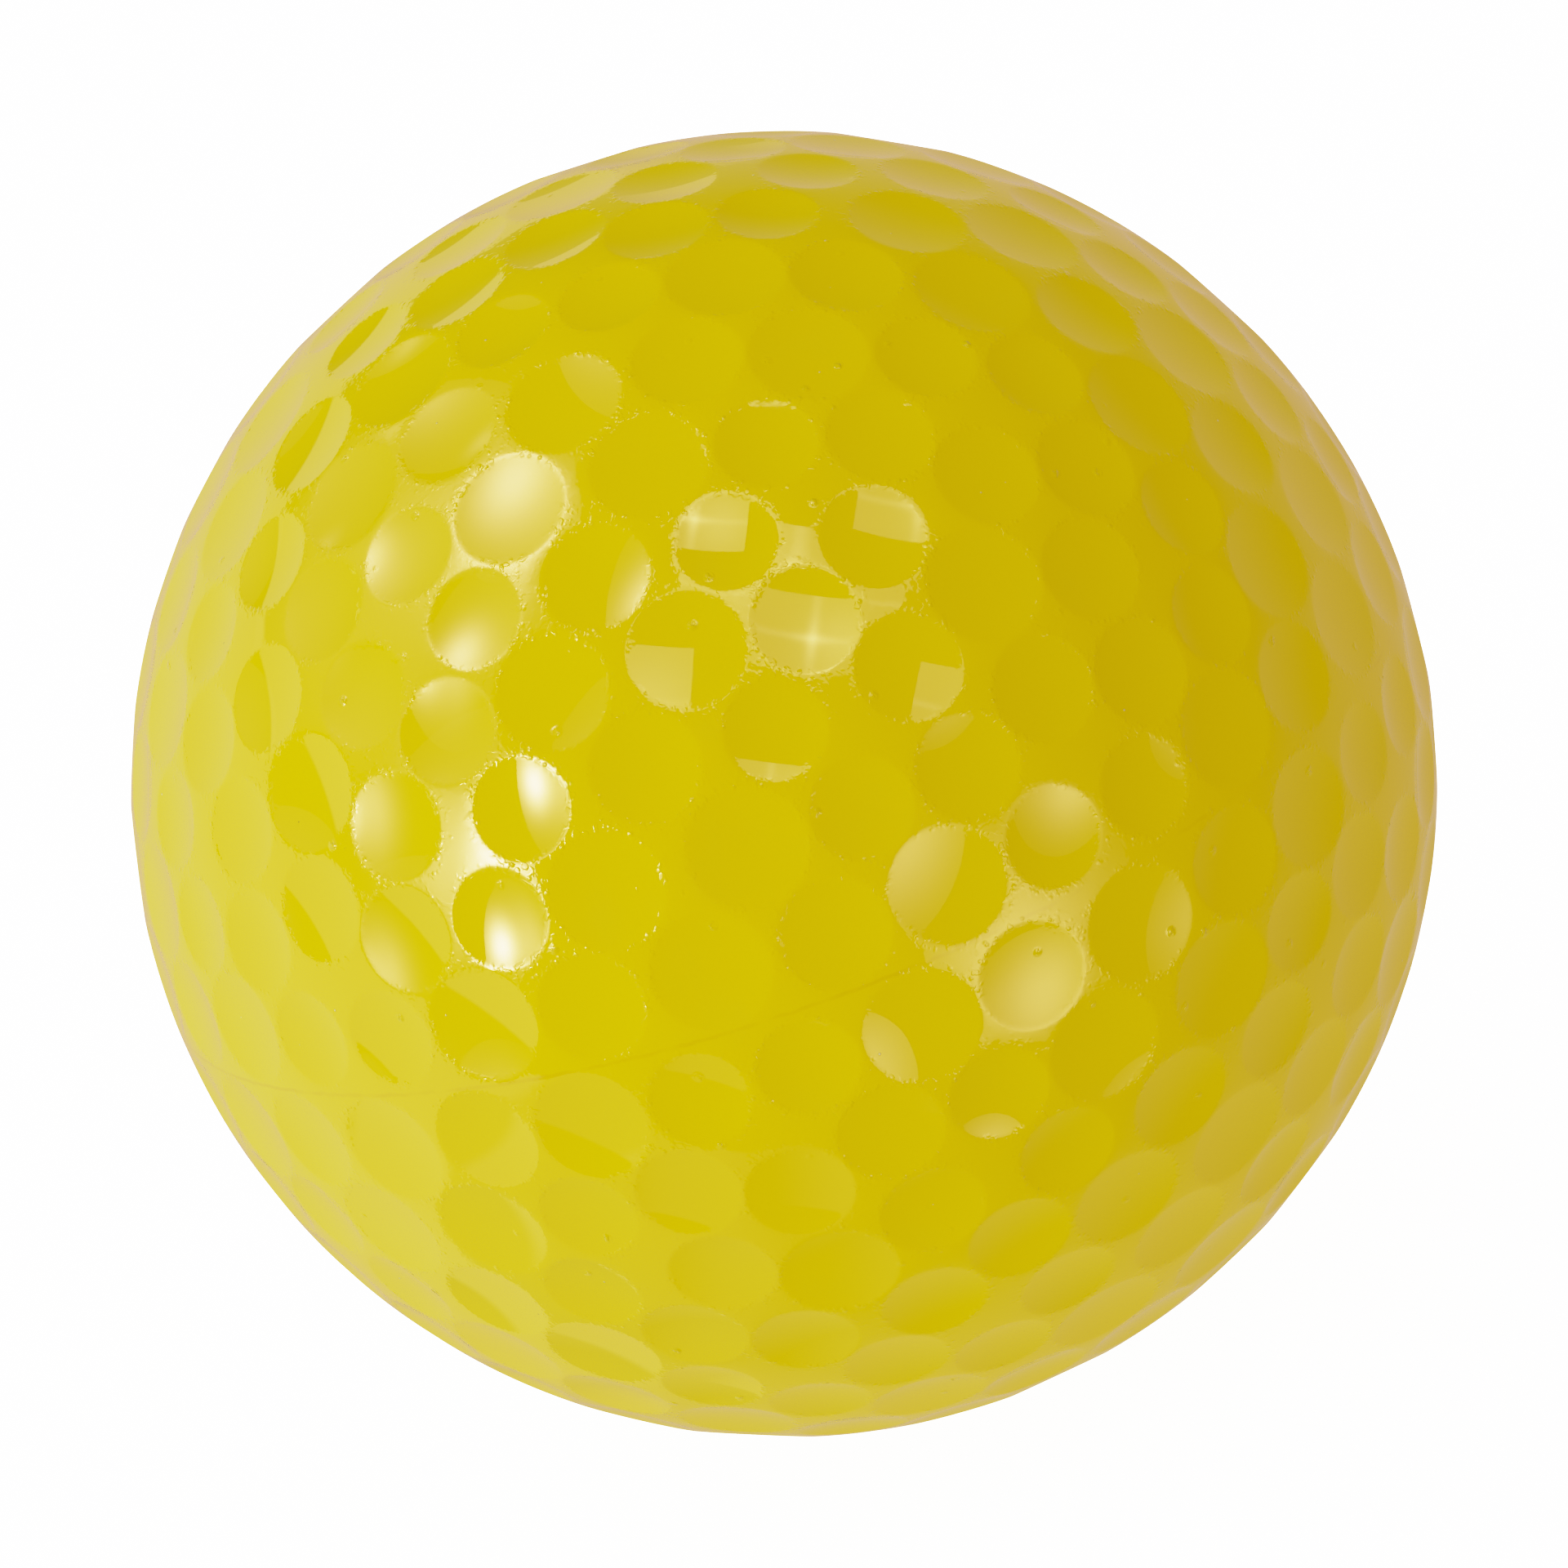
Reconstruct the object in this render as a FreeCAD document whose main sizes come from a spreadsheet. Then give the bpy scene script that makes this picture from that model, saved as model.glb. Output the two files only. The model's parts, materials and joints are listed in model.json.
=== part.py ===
import FreeCAD, Part
import math
import os

# Two-piece golf ball: a solid rubber core inside a dimpled cover that is made as two half shells.
# Millimetres and degrees. The origin is the ball's centre, and +Z is the mould axis, through both poles.
# The two cover halves meet on the seam, in the plane z = 0.
# The 432 dimples follow an icosahedron with one corner on each pole. Every dimple's place is an arc
# walked over the ball from a corner, from the middle of an edge or from the middle of a face.

os.makedirs("parts", exist_ok=True)

doc = FreeCAD.newDocument("golf_ball")
sheet = doc.addObject("Spreadsheet::Sheet", "sheet")
sheet.Label = "dimensions"

DIMENSIONS = [
    ("ball_diameter", 42.67, "regulation minimum diameter"),
    ("cover_thickness", 1.8, "land of the cover down to the core"),
    ("dimple_depth", 0.205, "from the ball's full round down to the bottom of any dimple"),
    ("tool_margin", 0.015, "how far a dimple tool stands outside the rim"),
    ("seam_land_arc", 0.25, "least arc from the seam to a dimple's rim"),
    # dimple diameters
    ("largest_dimple", 3.86, "three round the middle of each face"),
    ("large_dimple", 3.80, "on each corner, and beside the middle of each edge"),
    ("medium_dimple", 3.58, "beside each edge, on the face"),
    ("small_dimple", 3.45, "ring of five round each corner, and their neighbours on the edges"),
    ("smallest_dimple", 3.28, "two inside each corner of a face"),
    # arcs that place the dimples
    ("ring_arc", 10.0, "from a corner, towards the middle of a face"),
    ("edge_near_arc", 15.6, "from a corner, along an edge"),
    ("edge_far_arc", 25.8, "from a corner, along an edge"),
    ("flank_arc", 21.9, "from a corner, either side of the line to the middle of a face"),
    ("flank_turn", 13.0, "turned off that line"),
    ("edge_inset_arc", 8.4, "from the middle of an edge, towards the middle of a face"),
    ("face_inset_arc", 7.2, "from the middle of a face, towards a corner"),
    ("pole_inset_arc", 5.0, "the same, towards a pole"),
]
for line, (alias, value, meaning) in enumerate(DIMENSIONS, start=1):
    sheet.set(f"A{line}", alias.replace("_", " "))
    sheet.set(f"B{line}", str(value))
    sheet.setAlias(f"B{line}", alias)
    sheet.set(f"C{line}", meaning)
doc.recompute()


def unit(vector):
    return FreeCAD.Vector(vector).normalize()


def direction(latitude, longitude):
    """Unit vector from the ball's centre to a latitude and longitude in degrees."""
    lat = math.radians(latitude)
    lon = math.radians(longitude)
    return FreeCAD.Vector(math.cos(lat) * math.cos(lon), math.cos(lat) * math.sin(lon), math.sin(lat))


def walk(start, goal, arc, turn=0.0):
    """Go over the unit sphere from start by arc degrees, heading turn degrees left of goal."""
    ahead = unit(goal - start * start.dot(goal))
    left = start.cross(ahead)
    heading = math.radians(turn)
    course = ahead * math.cos(heading) + left * math.sin(heading)
    gone = math.radians(arc)
    return start * math.cos(gone) + course * math.sin(gone)


# An icosahedron's corners: the poles and two belts of five, half a step apart.
belt_latitude = math.degrees(math.atan(0.5))
corners = [direction(90, 0), direction(-90, 0)]
for step in range(5):
    corners.append(direction(belt_latitude, 72 * step))
    corners.append(direction(-belt_latitude, 72 * step + 36))

edge_arc = math.atan(2.0)


def joined(a, b):
    return abs(a.getAngle(b) - edge_arc) < 0.01


edges = []
faces = []
for i, a in enumerate(corners):
    for j, b in enumerate(corners[i + 1:], start=i + 1):
        if not joined(a, b):
            continue
        edges.append((a, b))
        for c in corners[j + 1:]:
            if joined(a, c) and joined(b, c):
                faces.append((a, b, c))

# (diameter, direction) of every dimple
dimples = []
for corner in corners:
    dimples.append((sheet.large_dimple, corner))
for a, b in edges:
    for start, goal in ((a, b), (b, a)):
        dimples.append((sheet.small_dimple, walk(start, goal, sheet.edge_near_arc)))
        dimples.append((sheet.large_dimple, walk(start, goal, sheet.edge_far_arc)))
for face in faces:
    middle = unit(face[0] + face[1] + face[2])
    for k in range(3):
        corner = face[k]
        edge_middle = unit(face[k - 1] + face[k - 2])
        inset_arc = sheet.pole_inset_arc if abs(corner.z) > 0.99 else sheet.face_inset_arc
        dimples.append((sheet.small_dimple, walk(corner, middle, sheet.ring_arc)))
        dimples.append((sheet.smallest_dimple, walk(corner, middle, sheet.flank_arc, sheet.flank_turn)))
        dimples.append((sheet.smallest_dimple, walk(corner, middle, sheet.flank_arc, -sheet.flank_turn)))
        dimples.append((sheet.medium_dimple, walk(edge_middle, middle, sheet.edge_inset_arc)))
        dimples.append((sheet.largest_dimple, walk(middle, corner, inset_arc)))

ball_radius = sheet.ball_diameter / 2


def rim_arc(diameter):
    """Arc in degrees from a dimple's middle to its rim."""
    return math.degrees(math.asin(diameter / 2 / ball_radius))


def clear_of_seam(diameter, place):
    """Slide a dimple along its meridian until its rim keeps its distance from the seam."""
    latitude = math.degrees(math.asin(place.z))
    longitude = math.degrees(math.atan2(place.y, place.x))
    least = rim_arc(diameter) + sheet.seam_land_arc
    if abs(latitude) >= least:
        return place
    return direction(math.copysign(least, latitude), longitude)


def dimple_tool(diameter):
    """Solid that cuts one dimple at the top of the ball: a shallow bowl under a straight wall."""
    half = diameter / 2
    bottom = ball_radius - sheet.dimple_depth
    rise = math.sqrt(ball_radius**2 - half**2) - bottom
    bowl_radius = (half**2 + rise**2) / (2 * rise)
    bowl_centre = bottom + bowl_radius

    def on_bowl(radius):
        return FreeCAD.Vector(radius, 0, bowl_centre - math.sqrt(bowl_radius**2 - radius**2))

    outer = half + sheet.tool_margin
    top = ball_radius + 0.2
    bottom_point = on_bowl(0)
    wall_foot = on_bowl(outer)
    wall_top = FreeCAD.Vector(outer, 0, top)
    axis_top = FreeCAD.Vector(0, 0, top)
    bowl = Part.Arc(bottom_point, on_bowl(half / 2), wall_foot).toShape()
    outline = [
        bowl,
        Part.makeLine(wall_foot, wall_top),
        Part.makeLine(wall_top, axis_top),
        Part.makeLine(axis_top, bottom_point),
    ]
    profile = Part.Face(Part.Wire(outline))
    return profile.revolve(FreeCAD.Vector(0, 0, 0), FreeCAD.Vector(0, 0, 1), 360)


up = FreeCAD.Vector(0, 0, 1)
tools = {diameter: dimple_tool(diameter) for diameter in {diameter for diameter, _ in dimples}}
cutters = {"upper": [], "lower": []}
for diameter, place in dimples:
    place = clear_of_seam(diameter, place)
    tool = tools[diameter].copy()
    tool.Placement = FreeCAD.Placement(FreeCAD.Vector(0, 0, 0), FreeCAD.Rotation(up, place))
    cutters["upper" if place.z > 0 else "lower"].append(tool)


def sphere(name, radius, low="-90", high="90"):
    """Ball or half ball round the origin, bound to the sheet."""
    ball = doc.addObject("Part::Sphere", name)
    ball.setExpression("Radius", radius)
    ball.setExpression("Angle1", low)
    ball.setExpression("Angle2", high)
    return ball


def cut(name, base, tool):
    result = doc.addObject("Part::Cut", name)
    result.Base = base
    result.Tool = tool
    return result


core = sphere("core", "sheet.ball_diameter / 2 - sheet.cover_thickness")
core.Label = "core"
core.Placement = FreeCAD.Placement()
nodes = [core]

for side, low, high in (("upper", "0", "90"), ("lower", "-90", "0")):
    blank = sphere(f"{side}_blank", "sheet.ball_diameter / 2", low, high)
    hollow = sphere(f"{side}_hollow", "sheet.ball_diameter / 2 - sheet.cover_thickness")
    shell = cut(f"{side}_shell", blank, hollow)
    dimple_set = doc.addObject("Part::Feature", f"{side}_dimples")
    dimple_set.Shape = Part.makeCompound(cutters[side])
    dimple_set.Placement = FreeCAD.Placement()
    half = cut(f"cover_{side}_half", shell, dimple_set)
    half.Label = f"cover_{side}_half"
    half.Placement = FreeCAD.Placement()
    nodes.append(half)

doc.recompute()

for item in doc.Objects:
    bad = [state for state in item.State if state in ("Invalid", "Error")]
    if bad:
        raise RuntimeError(f"{item.Name} did not build: {bad}")
for node in nodes:
    if node.Shape.isNull() or not node.Shape.isValid():
        raise RuntimeError(f"{node.Label} has no valid shape")
    if len(node.Shape.Solids) != 1:
        raise RuntimeError(f"{node.Label} is not one solid")
    node.Shape.exportStep(f"parts/{node.Label}.step")
    print(node.Label, f"{node.Shape.Volume:.1f} mm3", len(node.Shape.Faces), "faces")
print(len(dimples), "dimples")
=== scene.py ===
import json
import math

import bpy
import numpy as np
from mathutils import Matrix, Vector
from mathutils.geometry import delaunay_2d_cdt


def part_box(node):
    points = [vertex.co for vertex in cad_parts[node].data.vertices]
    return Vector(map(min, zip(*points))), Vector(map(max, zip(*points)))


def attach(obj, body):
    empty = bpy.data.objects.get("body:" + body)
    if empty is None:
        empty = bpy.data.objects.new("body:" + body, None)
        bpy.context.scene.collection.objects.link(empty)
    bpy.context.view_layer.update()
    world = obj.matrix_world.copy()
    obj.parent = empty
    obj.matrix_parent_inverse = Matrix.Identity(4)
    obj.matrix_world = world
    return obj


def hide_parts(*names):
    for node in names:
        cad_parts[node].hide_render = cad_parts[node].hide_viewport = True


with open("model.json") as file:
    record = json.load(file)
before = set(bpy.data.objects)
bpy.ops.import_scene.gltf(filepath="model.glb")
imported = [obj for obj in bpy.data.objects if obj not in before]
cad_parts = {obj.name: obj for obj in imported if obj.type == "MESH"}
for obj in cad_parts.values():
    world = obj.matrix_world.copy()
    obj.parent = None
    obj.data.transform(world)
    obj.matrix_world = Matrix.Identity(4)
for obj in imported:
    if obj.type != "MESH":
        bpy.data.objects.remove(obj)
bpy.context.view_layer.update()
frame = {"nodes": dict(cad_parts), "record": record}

# Lengths are in metres, and the angles and arcs that are set as constants are in degrees. The ball's
# centre is the origin, +Z is the mould axis and the seam lies in z = 0, as in the CAD.
MM = 0.001

ball_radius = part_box("cover_upper_half")[1].x
core_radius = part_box("core")[1].x
floor_height = frame["record"]["mounts"][0]["pos_m"][2]

# The CAD's dimple layout: diameters and depth, then places as arcs over an icosahedron.
LARGEST = 3.86 * MM
LARGE = 3.80 * MM
MEDIUM = 3.58 * MM
SMALL = 3.45 * MM
SMALLEST = 3.28 * MM
DIMPLE_DEPTH = 0.205 * MM
SEAM_LAND_ARC = 0.25
RING_ARC = 10.0
EDGE_NEAR_ARC = 15.6
EDGE_FAR_ARC = 25.8
FLANK_ARC = 21.9
FLANK_TURN = 13.0
EDGE_INSET_ARC = 8.4
FACE_INSET_ARC = 7.2
POLE_INSET_ARC = 5.0
FIFTH_OF_TURN = 72
TOLERANCE = 0.01              # when two cosines are the same


# ------------------------------------------------------------------------ dimple layout

def unit(vector):
    return vector / np.linalg.norm(vector)


def direction(latitude, longitude):
    lat = math.radians(latitude)
    lon = math.radians(longitude)
    return np.array([math.cos(lat) * math.cos(lon), math.cos(lat) * math.sin(lon), math.sin(lat)])


def walk(start, goal, arc, turn=0.0):
    """Go over the unit sphere from start by arc degrees, heading turn degrees left of goal."""
    ahead = unit(goal - start * np.dot(start, goal))
    left = np.cross(start, ahead)
    heading = math.radians(turn)
    course = ahead * math.cos(heading) + left * math.sin(heading)
    gone = math.radians(arc)
    return start * math.cos(gone) + course * math.sin(gone)


def clear_of_seam(diameter, place):
    latitude = math.degrees(math.asin(place[2]))
    least = math.degrees(math.asin(diameter / 2 / ball_radius)) + SEAM_LAND_ARC
    if abs(latitude) >= least:
        return place
    longitude = math.degrees(math.atan2(place[1], place[0]))
    return direction(math.copysign(least, latitude), longitude)


def lay_out_dimples():
    """(diameter, direction) of every dimple."""
    belt = math.degrees(math.atan(0.5))
    corners = [direction(90, 0), direction(-90, 0)]
    for step in range(5):
        corners.append(direction(belt, FIFTH_OF_TURN * step))
        corners.append(direction(-belt, FIFTH_OF_TURN * (step + 0.5)))
    neighbour = math.cos(math.atan(2.0))

    def joined(a, b):
        return abs(np.dot(a, b) - neighbour) < TOLERANCE

    dimples = [(LARGE, corner) for corner in corners]
    for i, a in enumerate(corners):
        for j, b in enumerate(corners[i + 1:], start=i + 1):
            if not joined(a, b):
                continue
            for start, goal in ((a, b), (b, a)):
                dimples.append((SMALL, walk(start, goal, EDGE_NEAR_ARC)))
                dimples.append((LARGE, walk(start, goal, EDGE_FAR_ARC)))
            for c in corners[j + 1:]:
                if not (joined(a, c) and joined(b, c)):
                    continue
                middle = unit(a + b + c)
                for corner, second, third in ((a, b, c), (b, c, a), (c, a, b)):
                    edge_middle = unit(second + third)
                    at_pole = 1 - abs(corner[2]) < TOLERANCE
                    inset_arc = POLE_INSET_ARC if at_pole else FACE_INSET_ARC
                    dimples.append((SMALL, walk(corner, middle, RING_ARC)))
                    dimples.append((SMALLEST, walk(corner, middle, FLANK_ARC, FLANK_TURN)))
                    dimples.append((SMALLEST, walk(corner, middle, FLANK_ARC, -FLANK_TURN)))
                    dimples.append((MEDIUM, walk(edge_middle, middle, EDGE_INSET_ARC)))
                    dimples.append((LARGEST, walk(middle, corner, inset_arc)))
    return [(diameter, clear_of_seam(diameter, place)) for diameter, place in dimples]


DIMPLES = lay_out_dimples()
CENTRES = np.array([place for _, place in DIMPLES])
HALF = np.array([diameter / 2 for diameter, _ in DIMPLES])
RIM_ARCS = np.arcsin(HALF / ball_radius)      # in radians


# ------------------------------------------------------------------------ surface of the cover

RIM_ROUND = 0.016 * MM        # how far the lacquer rounds a rim off
SEAM_HALF_WIDTH = 0.06 * MM
SEAM_DEPTH = 0.0005 * MM
SEAM_BEST_SEEN = -100.0       # longitude where the lacquer covers the seam least
SEAM_OPEN = 0.3               # how open the seam's groove is on the whole, from 0 to 1,
SEAM_SWING = 0.45             # by how much that changes from side to side,
SEAM_WAVER = 0.14             # and from place to place, in waves of
SEAM_WAVES = (5, 11, 23, 47, 83, 131)     # so many to a turn
BOND_GAP = 0.012 * MM         # keeps the cover's inside clear of the core's facets
BEAD_REACH = 0.12 * MM        # how far from a rim the lacquer beads
SEARCH_REACH = 2.2            # how far out a dimple is looked for, in its own rim arcs
NORMAL_STEP = 0.004 * MM      # the step over which the surface's slope is taken
ASKEW = np.array([0.31, 0.87, 0.39])      # in line with no dimple, to take sideways from


def nearest_dimple(points):
    """Each direction's nearest dimple, the arc to its middle and the arc beyond its rim, in radians."""
    beyond = np.full(len(points), math.pi)
    index = np.zeros(len(points), int)
    arc = np.zeros(len(points))
    for k, centre in enumerate(CENTRES):
        near = np.flatnonzero(points @ centre > math.cos(RIM_ARCS[k] * SEARCH_REACH))
        angle = np.arccos(np.clip(points[near] @ centre, -1, 1))
        past_rim = angle - RIM_ARCS[k]
        better = past_rim < beyond[near]
        chosen = near[better]
        beyond[chosen] = past_rim[better]
        index[chosen] = k
        arc[chosen] = angle[better]
    return index, arc, beyond


def seam_strength(points):
    """How open the seam's groove is round the ball, from 0, closed by lacquer, to 1."""
    longitude = np.arctan2(points[:, 1], points[:, 0])
    random = np.random.default_rng(7)
    strength = SEAM_OPEN + SEAM_SWING * np.cos(longitude - math.radians(SEAM_BEST_SEEN))
    for waves in SEAM_WAVES:
        strength += SEAM_WAVER * np.sin(waves * longitude + random.uniform(0, 2 * math.pi))
    return np.clip(strength, 0, 1)


def depth_below_round(points):
    """Depth of the surface below the ball's full round at each direction: a round bowl in each dimple,
    no depth on the land, and a smooth change between them at the rim."""
    index, arc, _ = nearest_dimple(points)
    half = HALF[index]
    bottom = ball_radius - DIMPLE_DEPTH
    rise = np.sqrt(ball_radius**2 - half**2) - bottom
    bowl_radius = (half**2 + rise**2) / (2 * rise)
    bowl_centre = bottom + bowl_radius
    along = bowl_centre * np.cos(arc)
    across = bowl_centre * np.sin(arc)
    bowl = ball_radius - along + np.sqrt(np.maximum(bowl_radius**2 - across**2, 0))
    depth = 0.5 * (bowl + np.sqrt(bowl**2 + RIM_ROUND**2))
    off_seam = np.abs(points[:, 2]) * ball_radius / SEAM_HALF_WIDTH
    groove = SEAM_DEPTH * seam_strength(points) * np.clip(1 - off_seam, 0, 1)
    return depth + groove


def normals(points):
    """The surface's own normals, so that its gloss is as smooth as the bowls are."""
    step = NORMAL_STEP / ball_radius
    side = np.cross(points, ASKEW)
    side /= np.linalg.norm(side, axis=1)[:, None]
    found = points * ball_radius
    for tangent in (side, np.cross(points, side)):
        ahead = depth_below_round(points + tangent * step)
        behind = depth_below_round(points - tangent * step)
        found += tangent * ((ahead - behind) / (2 * step))[:, None]
    return found / np.linalg.norm(found, axis=1)[:, None]


# ------------------------------------------------------------------------ mesh of the cover

ROUND_THE_RIM = 54            # mesh points round one dimple
RIM_RINGS = (-0.17, -0.075, -0.025, 0.02, 0.075)                       # mm out from the rim
BOWL_RINGS = ((0.83, 42), (0.66, 32), (0.49, 24), (0.32, 15), (0.15, 7))  # share of the rim, points
LAND_SPACING = 0.42 * MM
LAND_MARGIN = 0.13 * MM       # least distance of the land's own points from a rim
SEAM_POINTS = 648
SEAM_ROWS = (0.0, 0.5, 1.0)   # shares of the seam's half width
SEAM_MARGIN = 0.02 * MM       # least distance of the other points from the seam's outer row
INSIDE_SPACING = 1.2 * MM
INSIDE_MARGIN = 0.03          # least height of the inside's points above their seam ring, in radii
CLOSEST = 1e-9                # points of a flat map that are nearer than this would be one
POLE = np.array([0.0, 0.0, 1.0])


def ring(centre, arc, count, phase):
    """Directions in a circle round centre."""
    side = unit(np.cross(centre, ASKEW))
    other = np.cross(centre, side)
    angle = (np.arange(count) + phase) * 2 * math.pi / count
    circle = np.outer(np.cos(angle), side) + np.outer(np.sin(angle), other)
    return centre * math.cos(arc) + circle * math.sin(arc)


def level_ring(z, phase=0.0):
    """Directions round the mould axis at height z above the seam."""
    angle = (np.arange(SEAM_POINTS) + phase) * 2 * math.pi / SEAM_POINTS
    flat = math.sqrt(1 - z * z)
    return np.column_stack([flat * np.cos(angle), flat * np.sin(angle), np.full(SEAM_POINTS, z)])


def spread_over_half(spacing):
    """Evenly spread directions over the upper half, along a golden-angle spiral."""
    count = int(2 * math.pi * ball_radius**2 / spacing**2)
    z = 1 - (np.arange(count) + 0.5) / count
    angle = np.arange(count) * math.pi * (3 - math.sqrt(5))
    flat = np.sqrt(1 - z**2)
    return np.column_stack([flat * np.cos(angle), flat * np.sin(angle), z])


def outside_directions():
    """Directions of the mesh points on the upper half's outside, the seam's own ring first."""
    found = []
    for k, centre in enumerate(CENTRES):
        if centre[2] < 0:
            continue
        own = [centre[None]]
        for n, offset in enumerate(RIM_RINGS):
            arc = RIM_ARCS[k] + offset * MM / ball_radius
            own.append(ring(centre, arc, ROUND_THE_RIM, 0.5 * (n % 2)))
        for n, (share, count) in enumerate(BOWL_RINGS):
            own.append(ring(centre, RIM_ARCS[k] * share, count, 0.5 * (n % 2)))
        own = np.vstack(own)
        found.append(own[nearest_dimple(own)[0] == k])
    land = spread_over_half(LAND_SPACING)
    found.append(land[nearest_dimple(land)[2] * ball_radius > LAND_MARGIN])
    found = np.vstack(found)
    found = found[found[:, 2] * ball_radius > SEAM_HALF_WIDTH + SEAM_MARGIN]
    rows = [level_ring(share * SEAM_HALF_WIDTH / ball_radius, 0.5 * (n % 2))
            for n, share in enumerate(SEAM_ROWS)]
    return np.vstack(rows + [found])


def inside_directions():
    """Directions of the mesh points on the upper half's inside, the seam's own ring first."""
    inner = spread_over_half(INSIDE_SPACING)
    return np.vstack([level_ring(0.0), inner[inner[:, 2] > INSIDE_MARGIN]])


def web(points):
    """Triangles over the upper half's points, from their flat map as seen from the lower pole."""
    flat = points[:, :2] / (1 + points[:, 2:])
    fill_outline = 0
    made = delaunay_2d_cdt([Vector(p) for p in flat], [], [], fill_outline, CLOSEST, True)
    triangles = made[2]
    origin = [ids[0] for ids in made[3]]
    return np.array([[origin[v] for v in triangle] for triangle in triangles])


def cover_half(name, node, side):
    """One half of the cover: dimpled outside, smooth inside, flat where it meets the other half.
    side is 1 for the upper half, and -1 for the lower one, which is the upper one's mirror image."""
    outside = OUTSIDE * side
    inside = INSIDE * side
    outer = outside * (ball_radius - depth_below_round(outside))[:, None]
    inner = inside * (core_radius + BOND_GAP)
    count = len(outer)
    around = np.arange(SEAM_POINTS)
    onward = (around + 1) % SEAM_POINTS
    first = np.column_stack([around, onward, onward + count])
    second = np.column_stack([around, onward + count, around + count])
    flat = np.vstack([first, second])[:, ::-1]
    faces = np.vstack([OUTSIDE_WEB, INSIDE_WEB[:, ::-1] + count, flat])
    if side < 0:
        faces = faces[:, ::-1]
    mesh = bpy.data.meshes.new(name)
    mesh.from_pydata(np.vstack([outer, inner]).tolist(), [], faces.tolist())
    smooth = np.vstack([normals(outside), -inside])
    corner_normals = smooth[faces]
    corner_normals[-len(flat):] = [0, 0, -side]
    mesh.shade_smooth()
    mesh.normals_split_custom_set(corner_normals.reshape(-1, 3).tolist())
    past_rim = nearest_dimple(outside)[2] * ball_radius
    marks = {"rim": np.exp(-(past_rim / BEAD_REACH) ** 2), "seam": seam_strength(outside)}
    for label, values in marks.items():
        layer = mesh.attributes.new(label, "FLOAT", "POINT")
        layer.data.foreach_set("value", np.append(values, np.zeros(len(inner))).astype(np.float32))
    piece = bpy.data.objects.new(name, mesh)
    bpy.context.scene.collection.objects.link(piece)
    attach(piece, "root")
    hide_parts(node)
    return piece


OUTSIDE = outside_directions()
OUTSIDE_WEB = web(OUTSIDE)
INSIDE = inside_directions()
INSIDE_WEB = web(INSIDE)
upper = cover_half("upper_cover", "cover_upper_half", 1)
lower = cover_half("lower_cover", "cover_lower_half", -1)


# ------------------------------------------------------------------------ materials

class Nodes:
    """A node tree with short calls: add makes a node, sets its inputs by name or links them."""

    def __init__(self, tree):
        self.tree = tree
        tree.nodes.clear()

    def add(self, kind, inputs=None, **settings):
        node = self.tree.nodes.new(kind)
        for key, value in settings.items():
            setattr(node, key, value)
        for key, value in (inputs or {}).items():
            if isinstance(value, bpy.types.NodeSocket):
                self.tree.links.new(value, node.inputs[key])
            else:
                node.inputs[key].default_value = value
        return node

    def maths(self, operation, *values):
        inputs = dict(enumerate(values))
        return self.add("ShaderNodeMath", inputs, operation=operation).outputs[0]

    def times(self, first, second):
        return self.maths("MULTIPLY", first, second)

    def noise(self, where, size, detail=2.0, roughness=0.5):
        """Noise whose features are about size metres across."""
        inputs = {"Vector": where, "Scale": 1 / size, "Detail": detail, "Roughness": roughness}
        return self.add("ShaderNodeTexNoise", inputs).outputs["Fac"]

    def specks(self, where, spacing, radius, rarity, flat=0.5):
        """Lone round specks: one in some of the cells of a random pattern, spacing metres apart.
        rarity is the share of the cells left empty, and flat is the share of its radius over which a
        speck is flat on top."""
        settings = {"voronoi_dimensions": "3D", "feature": "F1"}
        cells = self.add("ShaderNodeTexVoronoi", {"Vector": where, "Scale": 1 / spacing}, **settings)
        chance = self.add("ShaderNodeSeparateColor", {"Color": cells.outputs["Color"]}).outputs["Red"]
        edge = radius / spacing
        near = self.between(cells.outputs["Distance"], flat * edge, edge, to_low=1.0, to_high=0.0)
        return self.times(near, self.maths("GREATER_THAN", chance, rarity))

    def between(self, value, low, high, to_low=0.0, to_high=1.0, kind="SMOOTHSTEP"):
        """to_low where value is low or less, to_high where it is high or more, and eased between."""
        inputs = {"Value": value, "From Min": low, "From Max": high}
        inputs.update({"To Min": to_low, "To Max": to_high})
        return self.add("ShaderNodeMapRange", inputs, interpolation_type=kind).outputs["Result"]

    def blend(self, share, first, second):
        """The first colour where share is 0 and the second where it is 1. A Mix node has sockets of the
        same names for numbers and colours, so the colours' go by their places, 6, 7 and 2."""
        node = self.add("ShaderNodeMix", {"Factor": share}, data_type="RGBA")
        for socket, value in ((node.inputs[6], first), (node.inputs[7], second)):
            if isinstance(value, bpy.types.NodeSocket):
                self.tree.links.new(value, socket)
            else:
                socket.default_value = (*value, 1)
        return node.outputs[2]


# Linear colours of the paint and what lies in it, and how strongly each shows over the one before.
YELLOW = (0.79, 0.64, 0.0)
CLOUD_YELLOW = (0.76, 0.60, 0.0)
GRAIN_YELLOW = (0.68, 0.50, 0.0)
SEAM_YELLOW = (0.70, 0.51, 0.0)
PALE_SPECK = (0.85, 0.80, 0.45)
DARK_DUST = (0.30, 0.20, 0.02)
GRAIN_SHARE = 0.12
SEAM_SHARE = 0.5
SPECK_SHARE = 0.6
DUST_SHARE = 0.5

# Heights in the lacquer, in millimetres.
PEEL_HEIGHT = 0.0006
BEAD_HEIGHT = 0.022
SPECK_HEIGHT = 0.02
DRIP_HEIGHT = 0.045

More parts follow.
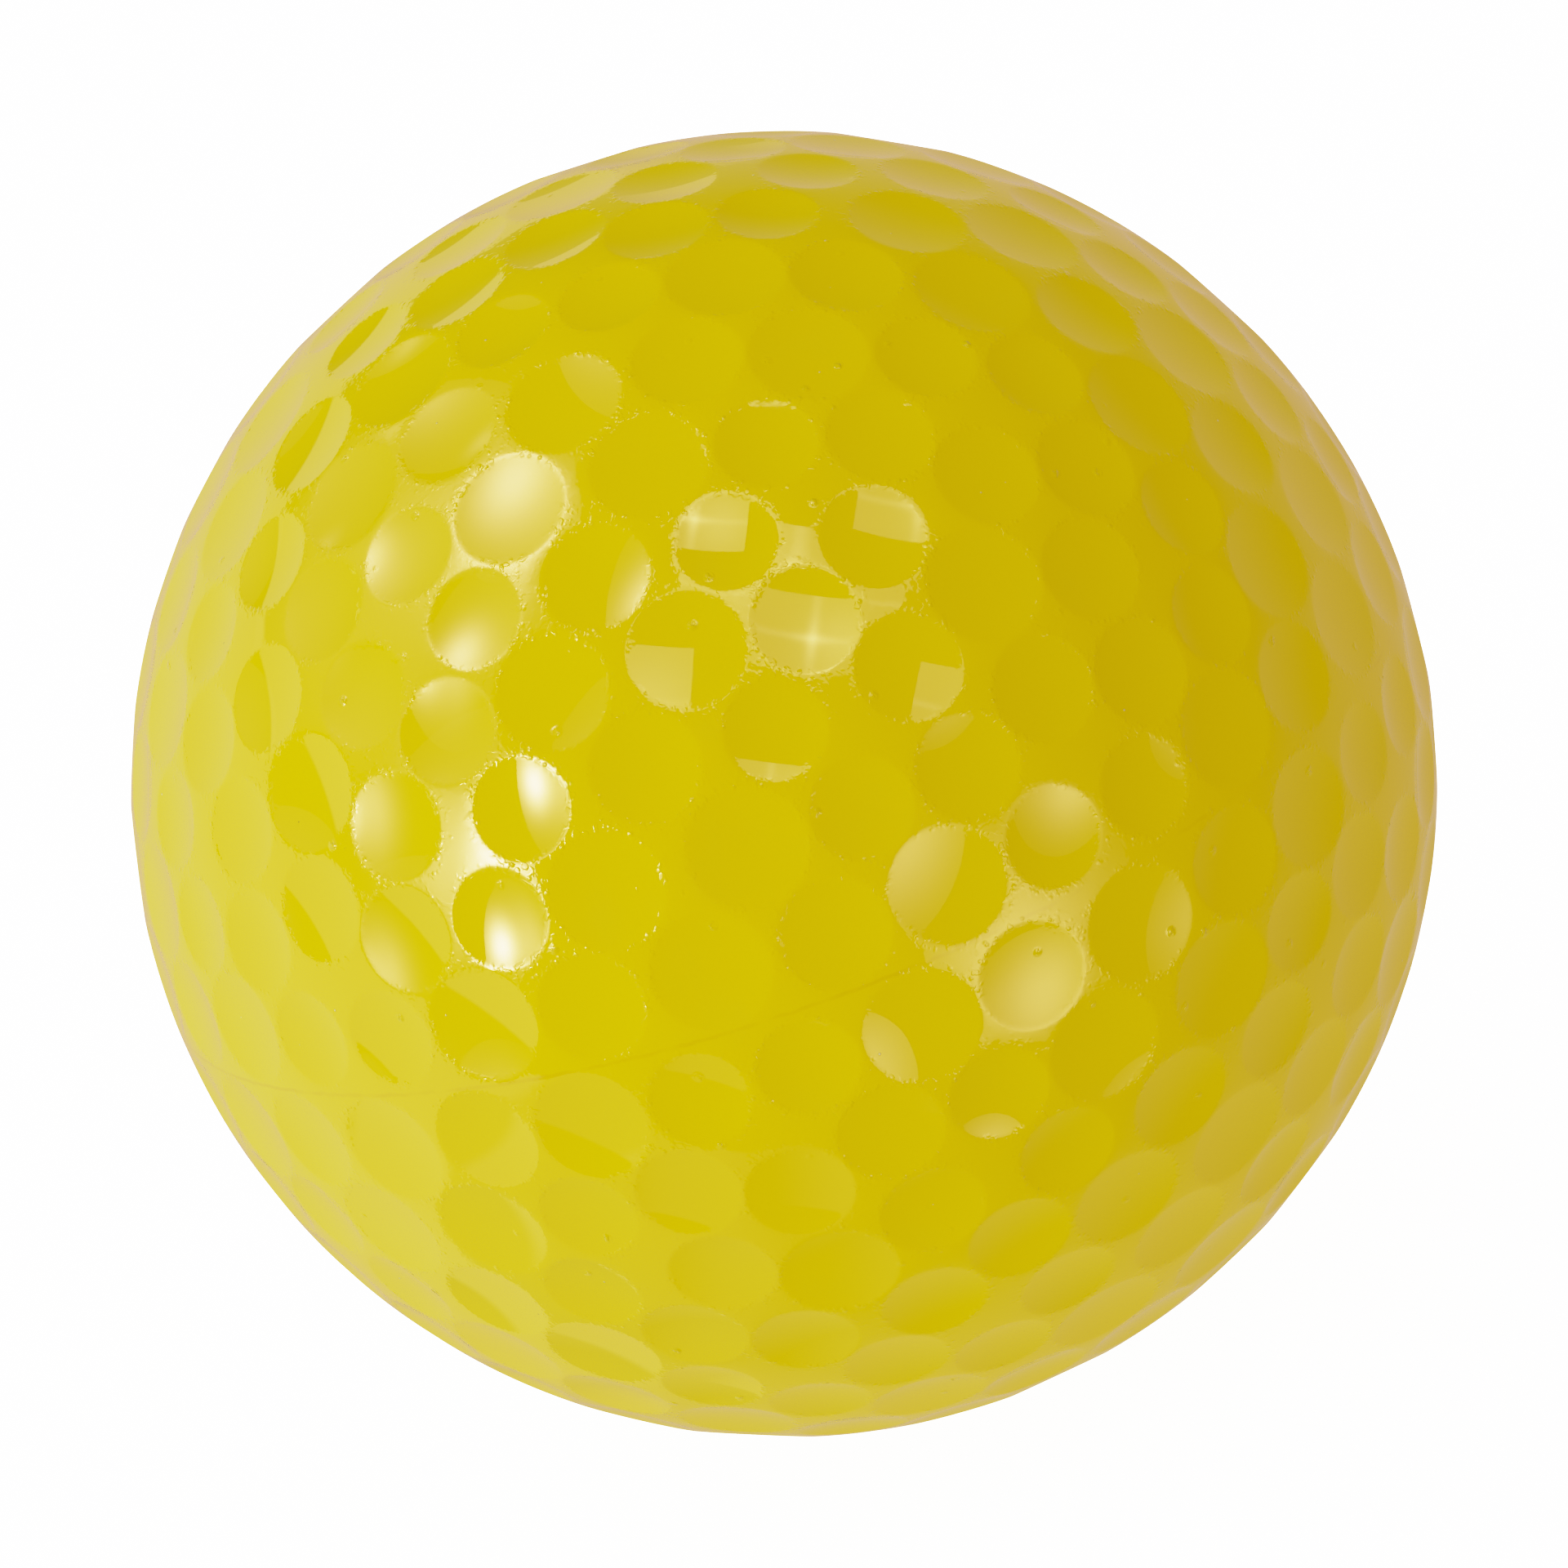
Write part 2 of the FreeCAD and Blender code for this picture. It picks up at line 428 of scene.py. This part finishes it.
RUN_SHARE = 0.38              # height of the beads that ran together, over that of the round ones
SEAM_WANDER = 0.08 * MM       # how far the seam's line strays
LINE_CORE = 0.02 * MM         # half the width over which the line is fully seen,
LINE_EDGE = 0.10 * MM         # and half the width at which it is gone
SMOOTHEST = 0.02              # roughness of the lacquer,
SMUDGE = 0.05                 # and what a smudge adds to it


def lacquered_yellow():
    """Yellow paint under clear lacquer: a mirror gloss with orange peel, beads along the rims, small
    drips and smudges, and with specks of dust in it."""
    material = bpy.data.materials.new("lacquered_yellow")
    material.use_nodes = True
    n = Nodes(material.node_tree)
    where = n.add("ShaderNodeTexCoord").outputs["Object"]
    rim = n.add("ShaderNodeAttribute", attribute_name="rim").outputs["Fac"]
    seam = n.add("ShaderNodeAttribute", attribute_name="seam").outputs["Fac"]

    clouds = n.noise(where, size=9 * MM, detail=3)
    grain = n.noise(where, size=0.12 * MM)
    paint = n.blend(clouds, YELLOW, CLOUD_YELLOW)
    paint = n.blend(n.times(grain, GRAIN_SHARE), paint, GRAIN_YELLOW)

    z = n.add("ShaderNodeSeparateXYZ", {"Vector": where}).outputs["Z"]
    stray = n.noise(where, size=0.5 * MM, detail=3, roughness=0.6)
    wander = n.maths("MULTIPLY_ADD", stray, 2 * SEAM_WANDER, -SEAM_WANDER)
    off_seam = n.maths("ABSOLUTE", n.maths("ADD", z, wander))
    line = n.times(n.between(off_seam, LINE_CORE, LINE_EDGE, to_low=1.0, to_high=0.0), seam)
    paint = n.blend(n.times(line, SEAM_SHARE), paint, SEAM_YELLOW)

    specks = n.specks(where, spacing=0.8 * MM, radius=0.05 * MM, rarity=0.9)
    dust = n.specks(where, spacing=0.9 * MM, radius=0.04 * MM, rarity=0.95)
    paint = n.blend(n.times(specks, SPECK_SHARE), paint, PALE_SPECK)
    paint = n.blend(n.times(dust, DUST_SHARE), paint, DARK_DUST)

    peel = n.noise(where, size=0.9 * MM, roughness=0.4)
    round_beads = n.specks(where, spacing=0.26 * MM, radius=0.11 * MM, rarity=0.3, flat=0.0)
    runs = n.between(n.noise(where, size=0.24 * MM, detail=1), low=0.50, high=0.64, to_high=RUN_SHARE)
    beads = n.times(n.maths("MAXIMUM", round_beads, runs), rim)
    patches = n.between(n.noise(where, size=1.8 * MM, detail=1), low=0.37, high=0.55, to_low=0.15)
    beads = n.times(beads, patches)
    height = n.maths("MULTIPLY_ADD", peel, PEEL_HEIGHT, n.times(beads, BEAD_HEIGHT))
    height = n.maths("MULTIPLY_ADD", specks, SPECK_HEIGHT, height)
    lumps = n.between(n.noise(where, size=0.2 * MM, detail=1), low=0.4, high=0.6, to_low=0.3)
    drips = n.specks(where, spacing=1.8 * MM, radius=0.22 * MM, rarity=0.4, flat=0.0)
    height = n.maths("MULTIPLY_ADD", n.times(drips, lumps), DRIP_HEIGHT, height)
    bump = n.add("ShaderNodeBump", {"Height": height, "Strength": 1.0, "Distance": MM})

    smudges = n.between(n.noise(where, size=3 * MM, detail=4, roughness=0.6), low=0.5, high=0.8)
    gloss = n.maths("MULTIPLY_ADD", smudges, SMUDGE, SMOOTHEST)

    inputs = {"Base Color": paint, "Roughness": gloss, "Normal": bump.outputs["Normal"]}
    shader = n.add("ShaderNodeBsdfPrincipled", inputs)
    shader.inputs["IOR"].default_value = 1.5
    n.add("ShaderNodeOutputMaterial", {"Surface": shader.outputs["BSDF"]})
    return material


# Linear colours of the rubber, and heights on it in millimetres.
RUBBER = (0.13, 0.165, 0.25)
PALE_RUBBER = (0.20, 0.24, 0.32)
GROOVE_HEIGHT = 0.02
MOTTLE_HEIGHT = 0.015
GROOVE_SQUEEZE = 12           # how much finer the grooves are across than along


def ground_rubber():
    """The core's dark blue-grey rubber, ground to size, with fine grooves and a paler mottle."""
    material = bpy.data.materials.new("ground_rubber")
    material.use_nodes = True
    n = Nodes(material.node_tree)
    where = n.add("ShaderNodeTexCoord").outputs["Object"]
    mottle = n.noise(where, size=2.5 * MM, detail=5, roughness=0.6)
    colour = n.blend(mottle, RUBBER, PALE_RUBBER)
    squeezed = n.add("ShaderNodeMapping", {"Vector": where, "Scale": (1, 1, GROOVE_SQUEEZE)})
    grooves = n.noise(squeezed.outputs["Vector"], size=1.1 * MM, detail=3)
    height = n.maths("ADD", n.times(grooves, GROOVE_HEIGHT), n.times(mottle, MOTTLE_HEIGHT))
    bump = n.add("ShaderNodeBump", {"Height": height, "Strength": 0.8, "Distance": MM})
    dull = n.between(grooves, low=0.3, high=0.7, to_low=0.62, to_high=0.82)
    inputs = {"Base Color": colour, "Roughness": dull, "Normal": bump.outputs["Normal"]}
    shader = n.add("ShaderNodeBsdfPrincipled", inputs)
    n.add("ShaderNodeOutputMaterial", {"Surface": shader.outputs["BSDF"]})
    return material


yellow = lacquered_yellow()
for half in (upper, lower):
    half.data.materials.append(yellow)
frame["nodes"]["core"].material_slots[0].material = ground_rubber()


# ------------------------------------------------------------------------ camera

CAMERA_LONGITUDE = -24.72     # where over the ball the camera stands
CAMERA_LATITUDE = 18.3
AXIS_LEAN = 20.64             # how far left the mould axis leans in the picture
CAMERA_DISTANCE = 16.0        # in ball radii
PICTURE_SHARE = 0.8335        # of the picture's width, taken by the ball

to_camera = direction(CAMERA_LATITUDE, CAMERA_LONGITUDE)
level_up = unit(POLE - to_camera * to_camera[2])
level_right = np.cross(level_up, to_camera)
lean = math.radians(AXIS_LEAN)
picture_up = level_up * math.cos(lean) + level_right * math.sin(lean)
picture_right = level_right * math.cos(lean) - level_up * math.sin(lean)


def from_picture(right=0.0, up=0.0, near=0.0):
    """A direction from the ball, by how it lies in the picture. near is towards the camera."""
    return unit(right * picture_right + up * picture_up + near * to_camera)


def facing(place, x_axis, y_axis):
    """A placement whose local -Z looks back at the ball from place."""
    matrix = np.eye(4)
    matrix[:3, 0] = x_axis
    matrix[:3, 1] = y_axis
    matrix[:3, 2] = np.cross(x_axis, y_axis)
    matrix[:3, 3] = place
    return Matrix(matrix.tolist())


def make_camera():
    data = bpy.data.cameras.new("camera")
    outline = math.tan(math.asin(1 / CAMERA_DISTANCE))
    data.lens = data.sensor_width / 2 * PICTURE_SHARE / outline
    data.clip_start = 0.01
    data.clip_end = 20
    camera = bpy.data.objects.new("camera", data)
    camera.matrix_world = facing(to_camera * CAMERA_DISTANCE * ball_radius, picture_right, picture_up)
    bpy.context.scene.collection.objects.link(camera)
    bpy.context.scene.camera = camera


# ------------------------------------------------------------------------ studio

LAMP_DISTANCE = 1.0
EVERYWHERE = 170              # degrees, wider than any lamp
LAVENDER = (0.88, 0.75, 1.0)
CREAM = (1.0, 0.95, 0.88)


def toward(azimuth, elevation):
    """A direction from the ball, in degrees right of and above the camera."""
    az = math.radians(azimuth)
    el = math.radians(elevation)
    flat = to_camera * math.cos(az) + picture_right * math.sin(az)
    return flat * math.cos(el) + picture_up * math.sin(el)


def reach(degrees):
    """Half the width of a thing that is this many degrees wide at a lamp's distance."""
    return LAMP_DISTANCE * math.tan(math.radians(degrees / 2))


class Lamp:
    """A soft box, width by height degrees wide as the ball sees it, that only the ball's gloss sees.
    It stands azimuth degrees right of the camera and elevation degrees above it. Its face is a sum of
    soft spots, each placed in degrees right of and above its middle."""

    def __init__(self, name, shape, azimuth, elevation, width, height, turn=0.0, colour=(1, 1, 1)):
        middle = toward(azimuth, elevation)
        up = unit(toward(azimuth, elevation + 1) - toward(azimuth, elevation - 1))
        right = np.cross(up, middle)
        turned = math.radians(turn)
        self.data = bpy.data.lights.new(name, "AREA")
        self.data.shape = shape
        self.data.size = 2 * reach(width)
        self.data.size_y = 2 * reach(height)
        # This energy keeps the face's brightness the same whatever its area.
        self.data.energy = math.pi * self.data.size * self.data.size_y
        if shape == "ELLIPSE":
            self.data.energy *= math.pi / 4
        self.data.color = colour
        self.data.use_nodes = True
        self.n = Nodes(self.data.node_tree)
        place = self.n.add("ShaderNodeNewGeometry").outputs["Parametric"]
        split = self.n.add("ShaderNodeSeparateXYZ", {"Vector": place})
        self.u = split.outputs["X"]
        self.v = split.outputs["Y"]
        self.total = 0.0
        light = bpy.data.objects.new(name, self.data)
        x_axis = right * math.cos(turned) - up * math.sin(turned)
        y_axis = up * math.cos(turned) + right * math.sin(turned)
        light.matrix_world = facing(middle * LAMP_DISTANCE, x_axis, y_axis)
        light.visible_camera = False
        light.visible_diffuse = False
        bpy.context.scene.collection.objects.link(light)

    def spot(self, brightness, right, up, width, height):
        """A soft round glow. width and height are in degrees, to where it has faded to a third."""
        n = self.n
        squares = []
        for along, middle, wide, size in ((self.u, right, width, self.data.size),
                                          (self.v, up, height, self.data.size_y)):
            off = n.maths("SUBTRACT", along, 0.5 + 2 * reach(middle) / size)
            share = n.maths("DIVIDE", off, reach(wide) / size)
            squares.append(n.times(share, share))
        fade = n.maths("EXPONENT", n.times(n.maths("ADD", *squares), -1.0))
        self.total = n.maths("MULTIPLY_ADD", fade, brightness, self.total)

    def done(self, even):
        """Adds even light over the whole face and switches the lamp on."""
        strength = self.n.maths("ADD", self.total, even)
        emission = self.n.add("ShaderNodeEmission", {"Strength": strength})
        self.n.add("ShaderNodeOutputLight", {"Surface": emission.outputs["Emission"]})


def light_studio():
    window = Lamp("window", "RECTANGLE", 1.5, 32.5, width=36, height=24.5, turn=8)
    window.spot(1.0, right=0, up=0, width=3, height=EVERYWHERE)
    window.spot(0.8, right=0, up=1, width=EVERYWHERE, height=2.2)
    window.spot(2.0, right=0, up=1, width=3.5, height=10)
    window.spot(2.0, right=0, up=1, width=10, height=3.5)
    window.spot(1.7, right=-9, up=2, width=22, height=22)
    window.done(1.2)

    diffuser = Lamp("diffuser", "ELLIPSE", -80, 29, width=66, height=56, colour=LAVENDER)
    diffuser.spot(8.0, right=17.5, up=9, width=16, height=18)
    diffuser.spot(2.2, right=10, up=11, width=24, height=22)
    diffuser.spot(0.6, right=4, up=2, width=50, height=50)
    diffuser.spot(1.2, right=-23, up=16, width=7, height=7)
    diffuser.done(0.03)

    left_lamp = Lamp("left_lamp", "ELLIPSE", -63, -10, width=37, height=46, colour=LAVENDER)
    left_lamp.spot(20, right=12, up=-2, width=11, height=16)
    left_lamp.spot(3.5, right=0, up=-1.5, width=13, height=21)
    left_lamp.spot(1.5, right=7, up=0, width=21, height=30)
    left_lamp.done(0.0)

    low_right = Lamp("low_right", "ELLIPSE", 46, -22, width=37, height=41, colour=CREAM)
    low_right.spot(4.0, right=-3, up=-4, width=23, height=27)
    low_right.spot(0.4, right=13, up=1, width=14, height=14)
    low_right.done(0.06)


SHEET_BRIGHTNESS = 0.7
BEHIND_BRIGHTNESS = 0.62      # of what the gloss sees behind the ball
CAMERA_SIDE_BRIGHTNESS = 0.01
SOFT_BRIGHTNESS = 1.3         # of the light on the paint
SEEN_BRIGHTNESS = 2.5         # of what the camera sees
WHITE = (1.0, 1.0, 1.0)
BEHIND_LOW_RIGHT = (1.0, 0.80, 0.38)
BEHIND_UPPER_LEFT = (1.0, 0.72, 0.76)
SOFT_LEFT = (0.794, 0.862, 0.85)
SOFT_RIGHT = (0.468, 0.337, 0.30)


def pale_surroundings():
    """White to the camera. To the gloss they are dark on the camera's side and pale behind the ball,
    with a pale sheet low behind it at the left. To the paint they are a soft light from all round."""
    world = bpy.data.worlds.new("studio")
    bpy.context.scene.world = world
    world.use_nodes = True
    n = Nodes(world.node_tree)
    where = n.add("ShaderNodeTexCoord").outputs["Generated"]

    def along(**directions):
        """How far each ray goes a way in the picture, from -1 to 1."""
        inputs = {0: where, 1: tuple(from_picture(**directions))}
        return n.add("ShaderNodeVectorMath", inputs, operation="DOT_PRODUCT").outputs["Value"]

    sheet = n.between(along(right=-0.169, up=-0.592, near=-0.788), 0.245, 0.265)
    sheet = n.times(sheet, SHEET_BRIGHTNESS)
    left_part = n.between(along(right=-1), -0.2, 0.2)
    foot = n.between(along(up=-1), 0.72, 0.76, to_low=1.0, to_high=0.35)
    sheet = n.times(n.times(sheet, left_part), foot)
    back = n.between(along(right=0.33, up=-0.12, near=-1), 0.30, 0.92)
    behind = n.maths("MULTIPLY_ADD", back, BEHIND_BRIGHTNESS, CAMERA_SIDE_BRIGHTNESS)
    upper_left = n.between(along(right=-0.5, up=1), -0.5, 0.5, kind="LINEAR")
    warm = n.blend(upper_left, BEHIND_LOW_RIGHT, BEHIND_UPPER_LEFT)
    warm = n.blend(back, WHITE, warm)
    mirrored = n.maths("MAXIMUM", sheet, behind)
    glossed = n.add("ShaderNodeBackground", {"Color": warm, "Strength": mirrored})

    across = n.between(along(right=1, up=0.25), -0.6, 1.0, kind="LINEAR")
    tint = n.blend(across, SOFT_LEFT, SOFT_RIGHT)
    soft = n.add("ShaderNodeBackground", {"Color": tint, "Strength": SOFT_BRIGHTNESS})
    seen = n.add("ShaderNodeBackground", {"Strength": SEEN_BRIGHTNESS})

    rays = n.add("ShaderNodeLightPath").outputs
    result = glossed
    for ray, background in (("Is Diffuse Ray", soft), ("Is Camera Ray", seen)):
        inputs = {0: rays[ray], 1: result.outputs[0], 2: background.outputs[0]}
        result = n.add("ShaderNodeMixShader", inputs)
    n.add("ShaderNodeOutputWorld", {"Surface": result.outputs[0]})
    world.cycles.sampling_method = "NONE"


FLOOR_REACH = 3.0             # half the floor's width
FLOOR_GREY = (0.5, 0.5, 0.5, 1)
FLOOR_GLOW = 1.6


def pale_floor():
    """A wide pale floor under the ball. It shows the ball's shadow, and the gloss looks past it."""
    mesh = bpy.data.meshes.new("floor")
    corners = [(x * FLOOR_REACH, y * FLOOR_REACH, floor_height)
               for x, y in ((-1, -1), (1, -1), (1, 1), (-1, 1))]
    mesh.from_pydata(corners, [], [(0, 1, 2, 3)])
    floor = bpy.data.objects.new("floor", mesh)
    bpy.context.scene.collection.objects.link(floor)
    material = bpy.data.materials.new("pale_floor")
    material.use_nodes = True
    n = Nodes(material.node_tree)
    diffuse = n.add("ShaderNodeBsdfDiffuse", {"Color": FLOOR_GREY})
    glow = n.add("ShaderNodeEmission", {"Strength": FLOOR_GLOW})
    both = n.add("ShaderNodeAddShader", {0: diffuse.outputs[0], 1: glow.outputs[0]})
    n.add("ShaderNodeOutputMaterial", {"Surface": both.outputs[0]})
    mesh.materials.append(material)
    floor.visible_glossy = False
    floor.visible_diffuse = False
    floor.visible_shadow = False
    floor.visible_transmission = False


SHOULDER = 0.66               # the brightness up to which nothing is changed
BRIGHTEST = 3.0               # the brightness that is shown white
LAST_EASED = 2.5              # the brightness of the curve's last eased point
EASED_POINTS = 12
STRAIGHT_SHARE = 0.25         # the curve's straight share, which ends just past the shoulder


def develop():
    """Brightness shown as it is up to a shoulder, then eased towards white, as a photograph does."""
    view = bpy.context.scene.view_settings
    view.view_transform = "Standard"
    view.use_curve_mapping = True
    mapping = view.curve_mapping
    mapping.white_level = (BRIGHTEST, BRIGHTEST, BRIGHTEST)
    curve = mapping.curves[3]
    for bright in np.linspace(SHOULDER, LAST_EASED, EASED_POINTS):
        shown = 1 - (1 - SHOULDER) * math.exp((SHOULDER - bright) / (1 - SHOULDER))
        curve.points.new(bright / BRIGHTEST, shown)
    curve.points[-1].location = (1.0, 1.0)
    for point in curve.points:
        point.handle_type = "VECTOR" if point.location[0] < STRAIGHT_SHARE else "AUTO"
    mapping.update()


make_camera()
light_studio()
pale_surroundings()
pale_floor()
develop()
